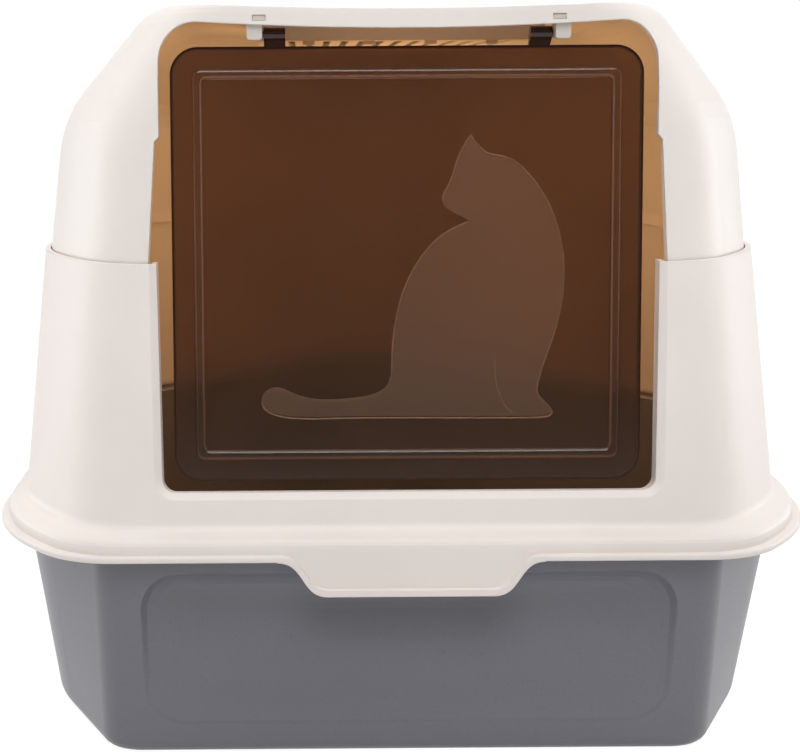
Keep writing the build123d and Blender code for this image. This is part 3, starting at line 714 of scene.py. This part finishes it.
def pad_rise(sizes, half_thickness, edge):
    """Half thickness of the pad at a distance from its edge: rounded there, then crowned."""
    roll = min(1.0, edge / PAD_EDGE)
    rise = half_thickness * math.sqrt(max(0.0, 1 - (1 - roll) ** 2))
    crown = sizes.crown * (1 - min(1.0, edge / PAD_CROWN_REACH)) * 0.5
    return max(rise - crown, PAD_LEAST_RISE)


def pad_mesh(name, sizes, low, high):
    """Closed cushion that fills the pad's box but for the skin of its fibres."""
    middle = (low + high) / 2
    reach = (high - low) / 2
    form = bmesh.new()
    bmesh.ops.create_grid(form, x_segments=PAD_COLUMNS, y_segments=PAD_ROWS, size=0.5)
    upper = list(form.verts)
    copied = bmesh.ops.duplicate(form, geom=form.verts[:] + form.edges[:] + form.faces[:])
    lower = [copied["vert_map"][point] for point in upper]
    for over, under in zip(upper, lower):
        x = over.co.x * 2 * reach.x
        y = over.co.y * 2 * reach.y
        rise = pad_rise(sizes, reach.z, min(reach.x - abs(x), reach.y - abs(y)))
        place = Vector((middle.x + x, middle.y + y, middle.z))
        over.co = place + Vector((0, 0, min(rise, reach.z - PAD_SKIN)))
        under.co = place - Vector((0, 0, rise))
    underside = set(lower)
    bottom = [face for face in form.faces if underside.issuperset(face.verts)]
    bmesh.ops.reverse_faces(form, faces=bottom)
    rim = [edge for edge in form.edges if edge.is_boundary]
    bmesh.ops.bridge_loops(form, edges=rim)
    bmesh.ops.recalc_face_normals(form, faces=form.faces)
    mesh = bpy.data.meshes.new(name)
    form.to_mesh(mesh)
    form.free()
    return mesh


def hold_within(mesh, low, high):
    """Keep every point of a mesh inside a box."""
    for point in mesh.vertices:
        point.co = [min(max(part, least), most) for part, least, most in zip(point.co, low, high)]


class LITTERBOX_OT_set_stage(bpy.types.Operator):
    """Set the floor, the lamps and the camera"""
    bl_idname = "litterbox.set_stage"
    bl_label = "Set the stage"

    def execute(self, context):
        setup = context.scene.stage_setup
        scene = context.scene
        scene.view_settings.view_transform = "Standard"
        lay_floor()
        white_world(scene, setup.surround, setup.surround_front)
        hang_lamps(setup)
        place_camera(scene, setup)
        return {"FINISHED"}


def lay_floor():
    """Lay the floor just under the box."""
    mesh = bpy.data.meshes.new("floor")
    form = bmesh.new()
    bmesh.ops.create_grid(form, x_segments=1, y_segments=1, size=FLOOR_REACH)
    form.to_mesh(mesh)
    form.free()
    mesh.transform(Matrix.Translation((0, 0, -FLOOR_DROP)))
    new_piece("floor", mesh, white_floor())


def hang_lamps(setup):
    """Four soft lamps round the box, and two warm ones in the cabin that are never seen."""
    for name, place, size, power in (
        ("lamp_left", (-1.6, 0.3, 0.25), 0.9, setup.side_lamp),
        ("lamp_right", (1.6, 0.3, 0.25), 0.9, setup.side_lamp),
        ("lamp_top", (0, -0.8, 1.65), 1.4, setup.top_lamp),
        ("lamp_front", (0, -1.7, 1.5), 1.0, setup.front_lamp),
    ):
        lamp = hang("AREA", name, place, power)
        lamp.data.size = size
        lamp.rotation_euler = (LAMP_AIM - Vector(place)).to_track_quat("-Z", "Y").to_euler()
    for name, place, radius, power in (
        ("lamp_cabin", (0, -0.05, 0.28), 0.06, setup.cabin_lamp * 0.9),
        ("lamp_doorway", (0, -0.2, 0.3), 0.015, setup.cabin_lamp * 0.12),
    ):
        lamp = hang("POINT", name, place, power)
        lamp.data.color = CABIN_LIGHT
        lamp.data.shadow_soft_size = radius
        lamp.visible_camera = False
        lamp.visible_glossy = False
        lamp.visible_transmission = False


def hang(kind, name, place, power):
    """Lamp of a kind at a place, not turned yet."""
    light = bpy.data.lights.new(name, kind)
    light.energy = power
    lamp = bpy.data.objects.new(name, light)
    bpy.context.scene.collection.objects.link(lamp)
    lamp.location = place
    return lamp


def white_floor():
    """Pale floor that looks white to the camera and still takes the shadow."""
    material, tree, output = start_material("pale_floor")
    place = object_place(tree)
    faint = noise(tree, place, scale=3.0)
    tint = colour_mix(tree, faint, (0.80, 0.80, 0.80, 1), (0.83, 0.83, 0.83, 1))
    matte = linked(tree, "ShaderNodeBsdfDiffuse", Color=tint)
    glow = linked(tree, "ShaderNodeEmission", Color=(1, 1, 1, 1), Strength=1.18)
    rays = tree.nodes.new("ShaderNodeLightPath")
    bright_behind = span(tree, part_of(tree, place, "Y"), -1.0, -0.2, 0.1, 1.0)
    reflected = calculate(tree, "MULTIPLY", mirrored_ray(tree, rays), bright_behind)
    seen = calculate(tree, "MAXIMUM", rays.outputs["Is Camera Ray"], reflected)
    share = calculate(tree, "MULTIPLY", seen, 0.8)
    show(tree, mix_shaders(tree, share, matte, glow), output)
    return material


def white_world(scene, behind, before):
    """White to the camera, a white backdrop, a darker room in front and two pale side screens."""
    world = bpy.data.worlds.new("white_room")
    scene.world = world
    world.use_nodes = True
    tree = world.node_tree
    tree.nodes.clear()
    output = tree.nodes.new("ShaderNodeOutputWorld")
    rays = tree.nodes.new("ShaderNodeLightPath")
    heading = tree.nodes.new("ShaderNodeTexCoord").outputs["Generated"]
    toward_back = part_of(tree, heading, "Y")
    sideways = calculate(tree, "ABSOLUTE", part_of(tree, heading, "X"))
    light = span(tree, toward_back, -0.05, 0.35, before, behind)
    backdrop = span(tree, toward_back, -0.3, 0.3, 0.12, 1.0)
    screens = span(tree, sideways, 0.62, 0.74, 0.0, 1.4)
    picture = calculate(tree, "MULTIPLY", calculate(tree, "MAXIMUM", backdrop, screens),
                        mirrored_ray(tree, rays))
    room = calculate(tree, "MAXIMUM", light, picture)
    strength = calculate(tree, "MAXIMUM", room, rays.outputs["Is Camera Ray"])
    sky = linked(tree, "ShaderNodeBackground", Color=(1, 1, 1, 1), Strength=strength)
    show(tree, sky, output)


def place_camera(scene, setup):
    """Camera at the picture's viewing angle."""
    lens = bpy.data.cameras.new("picture_camera")
    lens.sensor_width = 36
    lens.lens = setup.focal_length
    lens.shift_x = setup.sideways_shift
    lens.clip_start = 0.05
    camera = bpy.data.objects.new("picture_camera", lens)
    scene.collection.objects.link(camera)
    yaw, pitch, roll = map(math.radians, (CAMERA_YAW, CAMERA_PITCH, CAMERA_ROLL))
    level = Vector((math.sin(yaw), math.cos(yaw), 0))
    right = Vector((math.cos(yaw), -math.sin(yaw), 0))
    ahead = level * math.cos(pitch) - Vector((0, 0, math.sin(pitch)))
    up = level * math.sin(pitch) + Vector((0, 0, math.cos(pitch)))
    rolled_right = right * math.cos(roll) - up * math.sin(roll)
    rolled_up = up * math.cos(roll) + right * math.sin(roll)
    turn = Matrix((rolled_right, rolled_up, -ahead)).transposed().to_4x4()
    camera.matrix_world = Matrix.Translation(CAMERA_PLACE) @ turn
    scene.camera = camera


class LITTERBOX_PT_sidebar(bpy.types.Panel):
    """Lists the steps that finish the litter box, and their sliders"""
    bl_idname = "LITTERBOX_PT_sidebar"
    bl_label = "Litter Box"
    bl_space_type = "VIEW_3D"
    bl_region_type = "UI"
    bl_category = "Litter Box"

    def draw(self, context):
        for step in STEPS:
            self.layout.operator(step.bl_idname)
        for name, kind in GROUPS.items():
            box = self.layout.box()
            for value in kind.__annotations__:
                box.prop(getattr(context.scene, name), value)


STEPS = (
    LITTERBOX_OT_finish_tray,
    LITTERBOX_OT_finish_hoods,
    LITTERBOX_OT_finish_pin,
    LITTERBOX_OT_finish_door,
    LITTERBOX_OT_build_filter_pad,
    LITTERBOX_OT_set_stage,
)
GROUPS = {
    "moulded_finish": MouldedFinish,
    "smoky_door_finish": SmokyDoorFinish,
    "filter_pad_sizes": FilterPadSizes,
    "stage_setup": StageSetup,
}


def register():
    """Add the sliders, the steps and the panel to Blender."""
    for kind in (*GROUPS.values(), *STEPS, LITTERBOX_PT_sidebar):
        bpy.utils.register_class(kind)
    for name, kind in GROUPS.items():
        setattr(bpy.types.Scene, name, PointerProperty(type=kind))


def unregister():
    """Take the sliders, the steps and the panel out of Blender again."""
    for name in GROUPS:
        delattr(bpy.types.Scene, name)
    for kind in reversed((*GROUPS.values(), *STEPS, LITTERBOX_PT_sidebar)):
        bpy.utils.unregister_class(kind)


def main():
    """Run every step in order."""
    register()
    bpy.ops.litterbox.finish_tray()
    bpy.ops.litterbox.finish_hoods()
    bpy.ops.litterbox.finish_pin()
    bpy.ops.litterbox.finish_door()
    bpy.ops.litterbox.build_filter_pad()
    bpy.ops.litterbox.set_stage()


if __name__ == "__main__":
    main()
